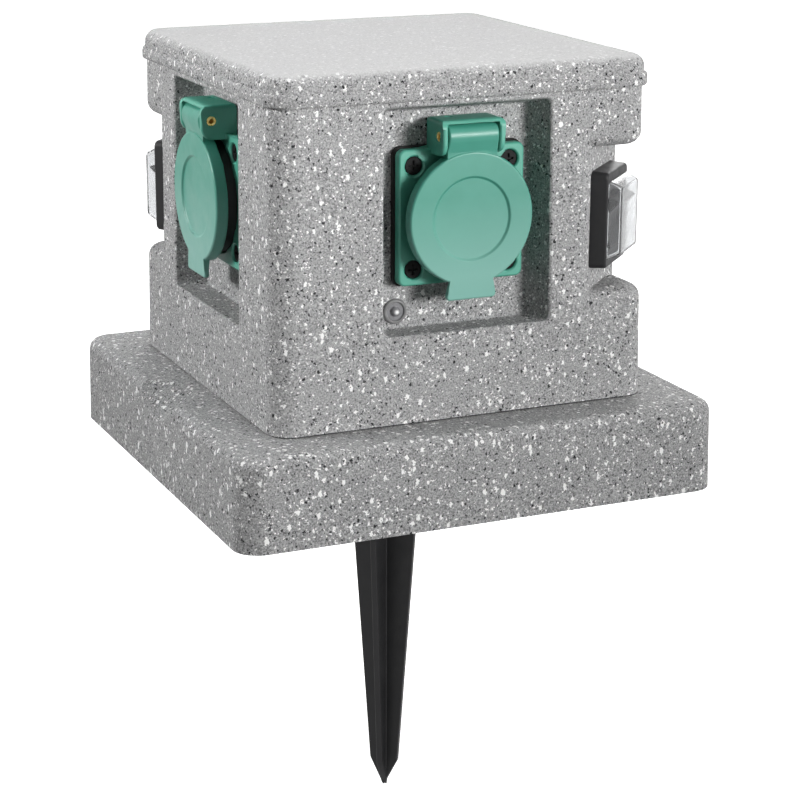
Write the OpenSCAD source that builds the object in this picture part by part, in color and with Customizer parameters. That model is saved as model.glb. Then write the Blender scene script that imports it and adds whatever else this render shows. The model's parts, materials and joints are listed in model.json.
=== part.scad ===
// Garden socket: a stone-look pillar on a square plinth with a ground spike.
// Two lidded outlets sit in deep pockets, on the front face and on the left face.
// Two rocker switches under clear boots sit on flats cut into opposite corners.
// Millimetres. Origin at the centre of the plinth's underside, +Z up, front at -Y.

/* [Plinth] */
// Width of the plinth at its underside
base_w = 194; // [184:1:210]
// How much narrower the plinth is at its top edge
base_taper = 1; // [0:0.5:3]
// Height of the plinth
base_h = 34.5; // [30:0.5:45]
// Radius of the plinth's upright corners
base_corner_r = 10; // [7:0.5:14]
// Radius of the plinth's top edge
base_edge_r = 4.5; // [2:0.5:6]
// Wall of the plinth
base_wall = 4; // [3:0.5:6]
// Thickness of the plinth's deck
deck_t = 3.5; // [3:0.5:5]
// Width of the scoop in the left edge
scoop_w = 44; // [30:1:56]
// Depth of the scoop at the side face
scoop_depth = 10.5; // [6:0.5:14]
// How far the scoop runs in over the deck
scoop_run = 17; // [12:0.5:19]

/* [Pillar] */
// Width of the pillar at its foot
body_w = 152.4; // [148:0.2:158]
// How much narrower the pillar is at its top
body_taper = 3.4; // [1:0.2:4]
// Height of the pillar
body_h = 118; // [112:0.5:126]
// Radius of the pillar's upright corners
body_corner_r = 9; // [7:0.5:12]
// Wall of the pillar
wall = 3; // [2.5:0.1:3.5]
// Thickness of the seal under the pillar
foot_seal_t = 0.5; // [0.4:0.1:1]

/* [Cap] */
// How much wider the cap's rim is than the pillar's top
rim_over = 3; // [1.5:0.5:5]
// Height of the rim band
rim_h = 4.8; // [4:0.2:6]
// How much narrower the cap is above its rim
cap_step = 2; // [1:0.5:3]
// Height of the cap above the rim
cap_h = 6.7; // [6:0.1:9]
// Radius of the cap's top edge
cap_edge_r = 5; // [3:0.5:5.5]
// Thickness of the cap's top
cap_t = 3.5; // [2.5:0.5:4]

/* [Pocket] */
// Width of a pocket at the face
pocket_w = 68; // [64:0.5:69]
// Width of a pocket at its floor
pocket_floor_w = 58; // [56:0.5:61]
// How much further the left pocket reaches towards the front
side_reach = 5; // [0:0.5:6]
// Depth of a pocket from the pillar's foot plane
pocket_depth = 12.7; // [12:0.1:13.5]
// Height of a pocket's floor
pocket_floor_h = 80.4; // [79:0.2:81]
// Distance from the pillar's top down to the pocket's roof at its floor
pocket_drop = 4.7; // [4.4:0.1:6]
// How much the pocket's roof climbs towards the face
pocket_flare = 3; // [2:0.1:3.2]

/* [Outlet] */
// Distance from the pillar's top down to the outlet's centre
socket_drop = 43.3; // [42.8:0.1:44]
// Width of the square flange
flange_w = 50; // [49:0.5:52]
// Thickness of the flange
flange_t = 4; // [3.5:0.1:4.5]
// Thickness of the flange gasket
gasket_t = 2; // [1.5:0.1:2.5]
// Spacing of the flange screws, across and up
screw_pitch = 38; // [37:0.5:39]
// Radius of the plug recess
recess_r = 19.5; // [19:0.1:19.8]
// Depth of the plug recess
recess_depth = 17.5; // [16:0.5:18.5]
// Outer radius of the black collar
collar_r = 21.7; // [21.4:0.1:22]
// How far the collar stands out of the flange
collar_proud = 3.8; // [3:0.1:4.2]
// Spacing of the two contact holes
contact_pitch = 19; // [18:0.5:20]
// Radius of a contact hole
contact_r = 2.6; // [2.4:0.1:3]

/* [Lid] */
// Radius of the lid disc
lid_r = 24.5; // [24:0.1:25]
// Depth of the lid from front to back
lid_depth = 4.9; // [4.5:0.1:5.3]
// Radius of the round panel sunk into the lid
lid_panel_r = 15; // [12:0.5:18]
// Width of the thumb tab
tab_w = 19.8; // [14:0.2:22]
// Length of the thumb tab below the disc
tab_len = 5.2; // [4:0.2:8]
// Height of the hinge pin above the outlet's centre
hinge_rise = 30.1; // [29.8:0.1:30.4]
// How far the hinge pin stands out of the flange
hinge_out = 5.8; // [5.7:0.1:6.1]
// Width between the outer faces of the hinge yoke
yoke_w = 24.8; // [24:0.2:27]
// Thickness of a yoke cheek
cheek_t = 2.2; // [2:0.1:2.6]
// How far the yoke reaches ahead of the pin
yoke_ahead = 4.2; // [3.8:0.1:4.6]
// Thickness of the yoke's roof
roof_t = 1.2; // [1:0.1:2]
// Radius of the hinge pin
pin_r = 1.75; // [1.5:0.05:1.8]
// Radius of the hole through the hinge pin
pin_hole_r = 0.95; // [0.7:0.05:1]

/* [Switch] */
// Distance from the pillar's top down to a switch's centre
switch_drop = 49.6; // [48:0.2:52]
// How deep a flat is cut into the pillar's corner
flat_cut = 16.7; // [16:0.1:17.2]
// Height of a corner notch
notch_h = 53.5; // [50:0.5:56]
// Radius of the stone edges above and below a notch
notch_edge_r = 5; // [3:0.5:6]
// Width of the switch frame
bezel_w = 28; // [27:0.5:29]
// Height of the switch frame
bezel_h = 37; // [36:0.5:38]
// Depth of the switch frame
bezel_t = 6.5; // [6:0.1:7]
// Width of the clear boot at its root
boot_w = 25; // [24.9:0.1:25.8]
// Height of the clear boot at its root
boot_h = 29.6; // [29.2:0.2:31]
// How far the boot stands out of the frame
boot_t = 5; // [4.8:0.1:5.6]
// Wall of the boot
boot_wall = 0.9; // [0.7:0.1:1]
// Width of the rocker
rocker_w = 20; // [17:0.2:20.2]
// Half the rocker's length
rocker_half = 9; // [8.6:0.1:9.2]
// Tilt of the rocker each side of centre, in degrees
rocker_tilt = 9; // [6:0.5:9.5]

/* [Pilot lamp] */
// How far the lamp sits left of the pocket's centre
lamp_left = 24; // [23.5:0.1:24.5]
// Distance from the pillar's top down to the lamp
lamp_drop = 78.6; // [78.2:0.1:79]
// Outer radius of the lamp's ring
lamp_ring_r = 4.7; // [4.4:0.1:4.8]
// Radius of the lens
lamp_lens_r = 3.3; // [3:0.1:3.5]

/* [Ground spike] */
// Length of the spike below the plinth
spike_len = 149; // [120:1:200]
// Reach of a fin from the axis at the top
fin_reach = 15.9; // [12:0.1:18]
// Reach of a fin at the shoulder near the tip
fin_tip_reach = 6; // [4:0.5:8]
// Thickness of a fin
fin_t = 2.4; // [2:0.1:3.5]
// Radius of the spike's stem inside the plinth
stem_r = 9; // [8:0.5:11]

/* [Cable inlet] */
// Radius of the hole for the supply lead
lead_r = 4.5; // [3.5:0.1:5]
// Length of the rubber bush that grips the lead
bush_len = 12; // [10:0.5:14]
// Radius of the gland's thread
gland_r = 8; // [7.5:0.1:8.5]

/* [Hidden] */
$fn = 64;

stone = "#a3a5a7";
green = "#5aa88f";
black = "#26272a";
brass = "#c79a3e";
steel = "#b9bcc0";
pale = "#c3c5c7";
clear = [0.86, 0.88, 0.9, 0.45];

thin = 0.01;
seat = 0.3;
slip = 0.02;
running = 0.05;

front_turn = 0;
left_turn = -90;
right_turn = 45;
rear_turn = 225;

// Heights of the main joints
deck_z = base_h;
body_z = deck_z + foot_seal_t;
body_top = body_z + body_h;
rim_top = body_top + rim_h;
cap_top = rim_top + cap_h;

// Widths that follow the pillar's top
rim_w = body_w - body_taper + rim_over;
cap_w = rim_w - cap_step;

// Straight inner widths of the hollow parts
inner_w = body_w - body_taper - 2 * wall;
inner_r = body_corner_r - wall;
plate_recess = 0.8;
plate_t = 2.5;
plate_top = plate_recess + plate_t;
base_inner_w = base_w - 2 * base_wall;
base_inner_r = base_corner_r - base_wall;

// Distances of the outlet's planes from the pillar's axis
floor_p = body_w / 2 - pocket_depth;
panel_back = floor_p - wall;
flange_back = floor_p + gasket_t;
flange_front = flange_back + flange_t;
collar_front = flange_front + collar_proud;
recess_floor = collar_front - recess_depth;
insert_back_p = recess_floor - 3;
lid_back = collar_front + seat;
lid_front = lid_back + lid_depth;
hinge_p = flange_front + hinge_out;
socket_z = body_top - socket_drop;
pocket_z = body_top - pocket_drop - pocket_floor_h;

// Hinge sizes that follow the pin
yoke_gap = yoke_w - 2 * cheek_t;
knuckle_w = yoke_gap - 2 * 0.35;
knuckle_r = 4.4;
yoke_front = hinge_p + yoke_ahead;
yoke_bottom = hinge_rise - 7;
roof_under = hinge_rise + knuckle_r + seat;
roof_top = roof_under + roof_t;
web_front = hinge_p - knuckle_r - 0.5;
spring_wire = 0.35;
spring_r = pin_r + 0.25 + spring_wire;
spring_slot_r = spring_r + spring_wire + 0.4;
spring_slot_w = 6.2;

// Switch distances from the pillar's axis
switch_z = body_top - switch_drop;
flat_distance = (body_w / 2 - body_corner_r) * sqrt(2) + body_corner_r - flat_cut;
flat_back = flat_distance - wall;
bezel_front = flat_distance + bezel_t;
boot_front = bezel_front + boot_t;
rocker_pivot = flat_distance - 2;
rocker_tip = boot_front - boot_wall - 0.35;
well_w = rocker_w + 0.8;
well_half = rocker_half + 1.6;
switch_body_w = well_w + 3.2;
switch_body_h = 27;
switch_body_depth = 24;
switch_body_back = flat_distance - switch_body_depth;

// Screw places
screw_inset = 10.5;
corner_screw = inner_w / 2 - screw_inset;
plate_screw = base_w / 2 - 13;
lamp_z = body_top - lamp_drop;
gland_z = 17;
gland_y = base_w / 2 - base_taper / 2 * (gland_z - 11) / base_h;

// Sizes of the inner parts
stem_len = 24;
rib_len = 22;
insert_back_w = 43;
insert_back_h = 34;
insert_back_depth = 14;
terminal_x = 30;
terminal_y = 22;
pole_pitch = 10;
pole_w = 9;
pole_d = 16;
pole_h = 14;

// Two-dimensional outline with round corners
module rounded(w, d, r) {
    square([w - 2 * r, d], center = true);
    square([w, d - 2 * r], center = true);
    for (x = [-1, 1], y = [-1, 1])
        translate([x * (w / 2 - r), y * (d / 2 - r)])
            circle(r = r);
}

module slab(w, d, h, r) {
    linear_extrude(h)
        rounded(w, d, r);
}

module at_corners(pitch) {
    for (x = [-1, 1], y = [-1, 1])
        translate([x * pitch, y * pitch, 0])
            children();
}

// Square block through a list of levels, each a height, a width and a corner radius
module stack(levels) {
    hull()
        for (l = levels)
            translate([0, 0, l[0]])
                linear_extrude(thin)
                    rounded(l[1], l[1], l[2], $fn = 32);
}

// Levels of a round top edge of radius e on a block of width w and corner radius r
function round_top(z, w, r, e) = [
    for (a = [0 : 15 : 90])
        [z - e + e * sin(a) - thin * a / 90, w - 2 * e * (1 - cos(a)), max(r - e * (1 - cos(a)), 0.5)]
];

// Outline of the pillar at a height
function body_width_at(z) = body_w - body_taper * (z - body_z) / body_h;

// Puts a face's local frame in place: local z points outwards, local y points up
module on_face(turn, z) {
    rotate([0, 0, turn])
        translate([0, 0, z])
            rotate([90, 0, 0])
                children();
}

// A box given by its low and high corners
module span(low, high) {
    translate(low)
        cube([high[0] - low[0], high[1] - low[1], high[2] - low[2]]);
}

// Rod along local x between two ends
module rod_x(x0, x1, r) {
    translate([x0, 0, 0])
        rotate([0, 90, 0])
            cylinder(r = r, h = x1 - x0);
}

// Pan-head screw pointing along -z, its head's underside at z = 0
module screw(shank_r, length, head_r, head_h) {
    difference() {
        union() {
            translate([0, 0, -length])
                cylinder(r = shank_r, h = length + thin);
            cylinder(r = head_r, h = head_h);
        }
        for (a = [0, 90])
            rotate(a)
                translate([0, 0, head_h])
                    cube([head_r * 1.2, 0.8, head_h], center = true);
    }
}

// Ramp of the scoop: a round trough that climbs from the side face to the deck
module scoop(extra = 0) {
    r = (scoop_w * scoop_w / 4 + scoop_depth * scoop_depth) / (2 * scoop_depth);
    slope = atan(scoop_depth / scoop_run);
    translate([-base_w / 2, 0, deck_z - scoop_depth])
        rotate([0, -slope, 0])
            translate([-30, 0, r])
                rotate([0, 90, 0])
                    cylinder(r = r + extra, h = 70, $fn = 128);
}

module base_plinth() {
    post_r = 4.5;
    color(stone)
        difference() {
            stack(concat(
                [[0, base_w, base_corner_r]],
                round_top(deck_z, base_w - base_taper, base_corner_r, base_edge_r)));
            difference() {
                translate([0, 0, -1])
                    slab(base_inner_w, base_inner_w, deck_z - deck_t + 1, base_inner_r);
                at_corners(plate_screw)
                    translate([0, 0, plate_top])
                        cylinder(r = post_r, h = deck_z);
                scoop(extra = base_wall);
            }
            scoop();
            // Holes for the wires, the pillar's screws, the plate's screws and the gland
            cylinder(r = 18, h = deck_z + 1);
            at_corners(corner_screw)
                translate([0, 0, deck_z - deck_t - 1])
                    cylinder(r = 2.1, h = deck_t + 2);
            at_corners(plate_screw)
                translate([0, 0, plate_top - 1])
                    cylinder(r = 1.52, h = 11);
            translate([0, base_w / 2 + 1, gland_z])
                rotate([90, 0, 0])
                    cylinder(r = gland_r + 0.1, h = base_wall + 3);
        }
}

module base_plate() {
    boss_r = stem_r + 4;
    color(black)
        difference() {
            union() {
                translate([0, 0, plate_recess])
                    slab(base_inner_w - 0.6, base_inner_w - 0.6, plate_t, base_inner_r - 0.3);
                cylinder(r = boss_r, h = stem_len + 3);
                for (a = [0 : 45 : 315])
                    rotate(a)
                        span([boss_r - 1, -1.2, plate_top - 1], [boss_r + rib_len, 1.2, plate_top + 6]);
            }
            translate([0, 0, -1])
                cylinder(r = stem_r + 0.1, h = stem_len + 1);
            translate([0, 0, -1])
                cylinder(r = boss_r + 1, h = 1 + plate_recess);
            cylinder(r = 2.6, h = stem_len + 6);
            at_corners(plate_screw) {
                cylinder(r = 1.7, h = 10);
                cylinder(r = 3.6, h = plate_recess + 1.2);
            }
        }
}

module base_plate_screws() {
    color(steel)
        at_corners(plate_screw)
            translate([0, 0, plate_recess + 1.2])
                mirror([0, 0, 1])
                    screw(1.5, 9, 3.3, 1.2);
}

// Thin dark seal that shows as a line between the pillar and the plinth
module foot_seal() {
    color(black)
        translate([0, 0, deck_z])
            difference() {
                slab(body_w - 1.2, body_w - 1.2, foot_seal_t, body_corner_r - 0.6);
                translate([0, 0, -1])
                    slab(inner_w, inner_w, foot_seal_t + 2, inner_r);
            }
}

// Space of one pocket, widening towards the face, with extra width on its right
module pocket_cut(extra) {
    h = pocket_floor_h;
    reach = pocket_depth + 6;
    slope = (pocket_w - pocket_floor_w) / (2 * pocket_depth);
    climb = pocket_flare / pocket_depth * reach;
    translate([0, 0, pocket_z + h / 2])
        rotate([90, 0, 0])
            hull() {
                translate([extra / 2, 0, floor_p])
                    linear_extrude(thin)
                        rounded(pocket_floor_w + extra, h, 1.6, $fn = 32);
                translate([extra / 2, climb / 2, floor_p + reach])
                    linear_extrude(thin)
                        rounded(pocket_floor_w + extra + 2 * slope * reach, h + climb, 2.6, $fn = 32);
            }
}

// Corner notch: a flat across the corner with round stone edges above and below
module corner_notch() {
    low = switch_z - notch_h / 2 + 0.8;
    high = low + notch_h;
    e = notch_edge_r;
    w_low = body_width_at(low - e) + 0.02;
    w_high = body_width_at(high + e) + 0.02;
    difference() {
        rotate([0, 0, right_turn])
            span([-45, -flat_distance - 40, low - e], [45, -flat_distance, high + e]);
        stack([for (a = [0 : 18 : 90])
            [low - e + e * sin(a) - thin, w_low - 2 * e * (1 - cos(a)), body_corner_r - e * (1 - cos(a))]]);
        stack([for (a = [0 : 18 : 90])
            [high + e - e * sin(a), w_high - 2 * e * (1 - cos(a)), body_corner_r - e * (1 - cos(a))]]);
    }
}

// Hollow of the pillar, leaving its walls, pockets, corner flats and screw blocks
module body_hollow() {
    low = body_z - 1;
    difference() {
        translate([0, 0, low])
            slab(inner_w, inner_w, body_h + 2, inner_r);
        for (side = [[front_turn, 0], [left_turn, side_reach]])
            rotate(side[0])
                span([-pocket_w / 2 - wall, -body_w, pocket_z - wall],
                     [pocket_w / 2 + side[1] + wall, -panel_back, body_top + 2]);
        for (turn = [right_turn, rear_turn])
            rotate(turn)
                span([-45, -flat_distance - 40, switch_z - notch_h / 2 - 3],
                     [45, -flat_back, switch_z + notch_h / 2 + 4]);
        at_corners(corner_screw)
            at_corner_block(low, body_z + 14);
        at_corners(corner_screw)
            at_corner_block(body_top - 10, body_top - 6);
    }
}

// Square block round a corner screw, reaching out past the wall
module at_corner_block(low, high) {
    translate([0, 0, low])
        linear_extrude(high - low)
            rounded(11, 11, 2);
    for (turn = [0 : 90 : 270])
        rotate(turn)
            span([-5.5, 0, low], [5.5, 12, high]);
}

module body_housing() {
    color(stone)
        difference() {
            stack([[body_z, body_w, body_corner_r],
                   [body_top - thin, body_w - body_taper, body_corner_r]]);
            body_hollow();
            for (side = [[front_turn, 0], [left_turn, side_reach]])
                rotate(side[0])
                    pocket_cut(side[1]);
            corner_notch();
            rotate(180)
                corner_notch();
            // Groove for the cap's seal
            difference() {
                translate([0, 0, body_top - 1.2])
                    slab(inner_w + 3.2, inner_w + 3.2, 3, inner_r + 1.6);
                translate([0, 0, body_top - 2])
                    slab(inner_w, inner_w, 5, inner_r);
            }
            // Holes for the inserts, their screws, the lamp and the switches
            for (turn = [front_turn, left_turn])
                on_face(turn, socket_z) {
                    translate([0, 0, panel_back - 1])
                        cylinder(r = collar_r + 0.2, h = wall + 2);
                    at_corners(screw_pitch / 2)
                        translate([0, 0, panel_back - 1])
                            cylinder(r = 1.52, h = wall + 2);
                }
            on_face(front_turn, lamp_z)
                translate([-lamp_left, 0, panel_back - 1])
                    cylinder(r = lamp_lens_r + 0.3, h = wall + 2);
            for (turn = [right_turn, rear_turn])
                on_face(turn, switch_z)
                    span([-switch_body_w / 2 - 0.2, -switch_body_h / 2 - 0.2, flat_back - 1],
                         [switch_body_w / 2 + 0.2, switch_body_h / 2 + 0.2, flat_distance + 1]);
            at_corners(corner_screw) {
                translate([0, 0, body_z - 1])
                    cylinder(r = 1.92, h = 12);
                translate([0, 0, body_top - 12])
                    cylinder(r = 2.1, h = 14);
            }
        }
}

module body_screws() {
    color(steel)
        at_corners(corner_screw)
            translate([0, 0, deck_z - deck_t])
                mirror([0, 0, 1])
                    screw(1.9, deck_t + foot_seal_t + 10, 3.8, 2.4);
}

module cap_seal() {
    color(black)
        translate([0, 0, body_top - 1.2])
            difference() {
                slab(inner_w + 3, inner_w + 3, 1.2, inner_r + 1.5);
                translate([0, 0, -1])
                    slab(inner_w + 0.2, inner_w + 0.2, 4, inner_r);
            }
}

module top_cap() {
    skirt_w = inner_w - 0.6;
    low = body_top - 6;
    color(stone)
        difference() {
            union() {
                difference() {
                    union() {
                        stack(concat([[rim_top - 1, cap_w, body_corner_r]],
                                     round_top(cap_top, cap_w, body_corner_r, cap_edge_r)));
                        stack([[body_top, rim_w - 1.2, body_corner_r],
                               [body_top + 0.3, rim_w - 0.4, body_corner_r + 0.4],
                               [body_top + 0.8, rim_w, body_corner_r + 0.5],
                               [rim_top - 0.9, rim_w, body_corner_r + 0.5],
                               [rim_top - 0.3, rim_w - 0.5, body_corner_r + 0.3],
                               [rim_top, rim_w - 1.4, body_corner_r]]);
                        translate([0, 0, body_top - 4])
                            slab(skirt_w, skirt_w, 5, inner_r - 0.3);
                    }
                    translate([0, 0, low])
                        slab(skirt_w - 4, skirt_w - 4, cap_top - cap_t - low, inner_r - 2);
                    for (side = [[front_turn, 0], [left_turn, side_reach]])
                        rotate(side[0])
                            span([-pocket_w / 2 - wall - 0.4, -body_w, low],
                                 [pocket_w / 2 + side[1] + wall + 0.4, -panel_back + 0.4, body_top]);
                }
                // Posts for the screws, standing on the pillar's corner blocks
                at_corners(corner_screw)
                    translate([0, 0, low])
                        cylinder(r = 5, h = cap_top - cap_t - low + 1);
            }
            at_corners(corner_screw)
                translate([0, 0, low - 1])
                    cylinder(r = 1.92, h = 12);
        }
}

module cap_screws() {
    color(steel)
        at_corners(corner_screw)
            translate([0, 0, body_top - 10])
                mirror([0, 0, 1])
                    screw(1.9, 14, 3.8, 2.4);
}

module ground_spike() {
    shoulder = spike_len - 12;
    color(black) {
        for (a = [45 : 90 : 315])
            rotate(a)
                rotate([90, 0, 0])
                    translate([0, 0, -fin_t / 2])
                        linear_extrude(fin_t)
                            polygon([[0, plate_recess], [fin_reach, plate_recess],
                                     [fin_reach - 2.8, plate_recess - 39], [fin_tip_reach, -shoulder],
                                     [0, -spike_len]]);
        difference() {
            translate([0, 0, plate_recess - 4])
                cylinder(r = stem_r, h = stem_len - plate_recess + 4);
            translate([0, 0, stem_len - 16])
                cylinder(r = 2.02, h = 20);
        }
    }
}

module spike_screw() {
    color(steel)
        translate([0, 0, stem_len + 3])
            screw(2, 14, 4.2, 2.6);
}

module gland_body() {
    color(black)
        translate([0, gland_y, gland_z])
            rotate([-90, 0, 0])
                difference() {
                    union() {
                        cylinder(r = 11, h = 4, $fn = 6);
                        translate([0, 0, -base_wall - 9])
                            cylinder(r = gland_r, h = base_wall + 9 + bush_len + 1.5);
                    }
                    translate([0, 0, -base_wall - 10])
                        cylinder(r = lead_r + 0.5, h = 40);
                    translate([0, 0, 2])
                        cylinder(r = lead_r + 2, h = 40);
                }
}

module gland_locknut() {
    color(black)
        translate([0, base_inner_w / 2 - 4, gland_z])
            rotate([-90, 0, 0])
                difference() {
                    cylinder(r = 11.5, h = 4, $fn = 6);
                    translate([0, 0, -1])
                        cylinder(r = gland_r + 0.02, h = 6);
                }
}

module gland_bush() {
    color(black)
        translate([0, gland_y + 2, gland_z])
            rotate([-90, 0, 0])
                difference() {
                    cylinder(r = lead_r + 1.95, h = bush_len);
                    translate([0, 0, -1])
                        cylinder(r = lead_r, h = bush_len + 2);
                }
}

module gland_nut() {
    inner = bush_len - 3;
    color(black)
        translate([0, gland_y + 5, gland_z])
            rotate([-90, 0, 0])
                difference() {
                    rotate_extrude()
                        polygon([[0, 0], [10.4, 0], [10.4, inner - 1], [9, inner + 2],
                                 [6.8, inner + 3.6], [0, inner + 3.6]]);
                    translate([0, 0, -1])
                        cylinder(r = gland_r + 0.02, h = inner + 1);
                    cylinder(r = lead_r + 0.7, h = 30);
                    for (a = [0 : 30 : 330])
                        rotate(a)
                            translate([11.2, 0, -1])
                                cylinder(r = 1.4, h = inner, $fn = 16);
                }
}

module terminal_block() {
    poles = 3;
    half_w = poles * pole_pitch / 2 + 1;
    half_d = pole_d / 2;
    color("#e8e6dc")
        translate([terminal_x, terminal_y, deck_z])
            difference() {
                union() {
                    span([-half_w, -half_d, 0], [half_w, half_d, pole_h * 0.2]);
                    for (i = [0 : poles - 1])
                        translate([(i - 1) * pole_pitch, 0, 0])
                            span([-pole_w / 2, -half_d, pole_h * 0.1], [pole_w / 2, half_d, pole_h]);
                }
                for (i = [0 : poles - 1])
                    translate([(i - 1) * pole_pitch, 0, pole_h / 2]) {
                        translate([0, half_d + 1, 0])
                            rotate([90, 0, 0])
                                cylinder(r = 2, h = pole_d + 2);
                        for (y = [-1, 1])
                            translate([0, y * pole_d / 4, 0])
                                cylinder(r = 1.7, h = pole_h);
                    }
            }
}

module pilot_ring() {
    color(pale)
        on_face(front_turn, lamp_z)
            translate([-lamp_left, 0, floor_p])
                rotate_extrude()
                    polygon([[lamp_lens_r + 0.05, 0], [lamp_ring_r, 0], [lamp_ring_r, 0.7],
                             [lamp_ring_r - 0.5, 1.2], [lamp_lens_r + 0.3, 1.2], [lamp_lens_r + 0.05, 0.8]]);
}

module pilot_lens() {
    dome_r = 1.9;
    color(clear)
        on_face(front_turn, lamp_z)
            translate([-lamp_left, 0, 0]) {
                translate([0, 0, panel_back])
                    cylinder(r = lamp_lens_r, h = wall + 0.6);
                intersection() {
                    translate([0, 0, floor_p + 0.6])
                        sphere(r = dome_r);
                    translate([0, 0, floor_p + 0.5])
                        cylinder(r = dome_r + 1, h = 4);
                }
            }
}

module pilot_holder() {
    color("#d9d7cf")
        on_face(front_turn, lamp_z)
            translate([-lamp_left, 0, panel_back - 14]) {
                cylinder(r = 4.4, h = 14);
                for (x = [-1.6, 1.6])
                    translate([x, 0, -5])
                        cylinder(r = 0.5, h = 6);
            }
}

module gasket(turn) {
    color(black)
        on_face(turn, socket_z)
            translate([0, 0, floor_p])
                difference() {
                    slab(flange_w + 1.4, flange_w + 1.4, gasket_t, 3.4);
                    translate([0, 0, -1])
                        cylinder(r = collar_r + 2, h = gasket_t + 2);
                    at_corners(screw_pitch / 2)
                        translate([0, 0, -1])
                            cylinder(r = 1.8, h = gasket_t + 2);
                }
}

// Side view of a yoke cheek, x outwards from the pillar and y up
module cheek_outline() {
    high_r = 3.2;
    low_r = 4.6;
    reach = yoke_front - flange_back;
    mid = yoke_bottom + low_r;
    translate([yoke_front - high_r, roof_top - high_r])
        circle(r = high_r);
    translate([yoke_front - low_r, mid])
        circle(r = low_r);
    translate([flange_back, yoke_bottom])
        square([reach - low_r, roof_top - yoke_bottom]);
    translate([flange_back, mid])
        square([reach - high_r, roof_top - mid]);
    translate([flange_back, mid])
        square([reach, roof_top - high_r - mid]);
}

// Turns a side view into a plate that spans x0 to x1
module side_plate(x0, x1) {
    translate([x0, 0, 0])
        rotate([0, 90, 0])
            rotate([0, 0, 90])
                linear_extrude(x1 - x0)
                    children();
}

module flange(turn) {
    half = yoke_w / 2;
    color(green)
        on_face(turn, socket_z)
            difference() {
                union() {
                    translate([0, 0, flange_back])
                        slab(flange_w, flange_w, flange_t, 2.7);
                    // Hinge yoke: a hood with two cheeks, a roof and a back, its upper corners round
                    intersection() {
                        side_plate(-half, half)
                            cheek_view();
                        translate([0, roof_top - flange_w / 2, flange_back])
                            slab(yoke_w, flange_w, yoke_front, 1.6);
                    }
                }
                span([-half + cheek_t, 0, web_front], [half - cheek_t, roof_under, yoke_front + 1]);
                // Round mark on the roof
                translate([-5.5, roof_top - 0.35, hinge_p - 6.2])
                    rotate([-90, 0, 0])
                        cylinder(r = 1.5, h = 1);
                translate([0, 0, flange_back - 1])
                    cylinder(r = collar_r + 0.2, h = flange_t + 1 + seat);
                at_corners(screw_pitch / 2) {
                    translate([0, 0, flange_back - 1])
                        cylinder(r = 1.8, h = flange_t + 2);
                    translate([0, 0, flange_front - 2.5])
                        cylinder(r = 3.5, h = 4);
                }
                translate([0, hinge_rise, hinge_p])
                    rod_x(-half - 1, half + 1, pin_r + slip);
            }
}

// Cheek outline with x pointing up and y outwards, as side_plate lays it
module cheek_view() {
    mirror([1, -1, 0])
        cheek_outline();
}

module flange_screws(turn) {
    color(black)
        on_face(turn, socket_z)
            at_corners(screw_pitch / 2)
                translate([0, 0, flange_front - 2.5])
                    screw(1.5, flange_t - 2.5 + gasket_t + wall + 3, 3.25, 1.7);
}

module insert(turn) {
    strap_w = 6;
    color(black)
        on_face(turn, socket_z)
            difference() {
                union() {
                    difference() {
                        union() {
                            translate([0, 0, insert_back_p])
                                cylinder(r = collar_r, h = collar_front - insert_back_p);
                            translate([0, 0, floor_p])
                                cylinder(r = collar_r + 1.7, h = gasket_t);
                        }
                        translate([0, 0, recess_floor])
                            cylinder(r = recess_r, h = recess_depth + 1);
                    }
                    // Ribs that key the plug, left and right
                    for (side = [-1, 1], y = [-3.4, 3.4])
                        span([side > 0 ? recess_r - 1.4 : -recess_r - 0.6, y - 0.9, recess_floor - 0.5],
                             [side > 0 ? recess_r + 0.6 : -recess_r + 1.4, y + 0.9, collar_front - 3]);
                }
                for (x = [-1, 1])
                    translate([x * contact_pitch / 2, 0, insert_back_p - 1])
                        cylinder(r = contact_r, h = 6);
                // Slots for the earth clips
                for (y = [-1, 1])
                    span([-strap_w / 2 - 0.2, y > 0 ? recess_r - 1.2 : -recess_r - 1.3, insert_back_p - 1],
                         [strap_w / 2 + 0.2, y > 0 ? recess_r + 1.3 : -recess_r + 1.2, collar_front - 2.6]);
            }
}

module contacts(turn) {
    color(brass)
        on_face(turn, socket_z)
            for (x = [-1, 1])
                translate([x * contact_pitch / 2, 0, insert_back_p - 11])
                    difference() {
                        cylinder(r = 3.5, h = 11);
                        translate([0, 0, 1])
                            cylinder(r = contact_r, h = 12);
                        span([-0.4, -4, 3], [0.4, 4, 12]);
                    }
}

// Earth strap: a U of spring metal whose two ends bulge into the plug recess
module earth_strap(turn) {
    w = 6;
    t = 0.8;
    out = recess_r + t + 0.2;
    low = insert_back_p - t;
    top = collar_front - 3.2;
    mid = (recess_floor + top) / 2 + 1;
    color(brass)
        on_face(turn, socket_z)
            side_plate(-w / 2, w / 2)
                polygon([[-out, low], [out, low], [out, top], [out - t, top],
                         [out - t, mid + 4], [out - t - 1.5, mid + 0.8],
                         [out - t - 1.5, mid - 0.8], [out - t, mid - 4],
                         [out - t, low + t], [-out + t, low + t],
                         [-out + t, mid - 4], [-out + t + 1.5, mid - 0.8],
                         [-out + t + 1.5, mid + 0.8], [-out + t, mid + 4],
                         [-out + t, top], [-out, top]]);
}

module insert_back(turn) {
    depth = insert_back_depth;
    color("#3a3b3d")
        on_face(turn, socket_z)
            difference() {
                translate([0, 0, insert_back_p - 0.8 - depth])
                    slab(insert_back_w, insert_back_h, depth, 5);
                for (x = [-1, 1])
                    translate([x * contact_pitch / 2, 0, insert_back_p - 11.2])
                        cylinder(r = 3.6, h = 12);
                for (x = [-1, 0, 1])
                    translate([x * 13, -insert_back_h / 2 - 1, insert_back_p - 9])
                        rotate([-90, 0, 0])
                            cylinder(r = 2.2, h = 7);
            }
}

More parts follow.
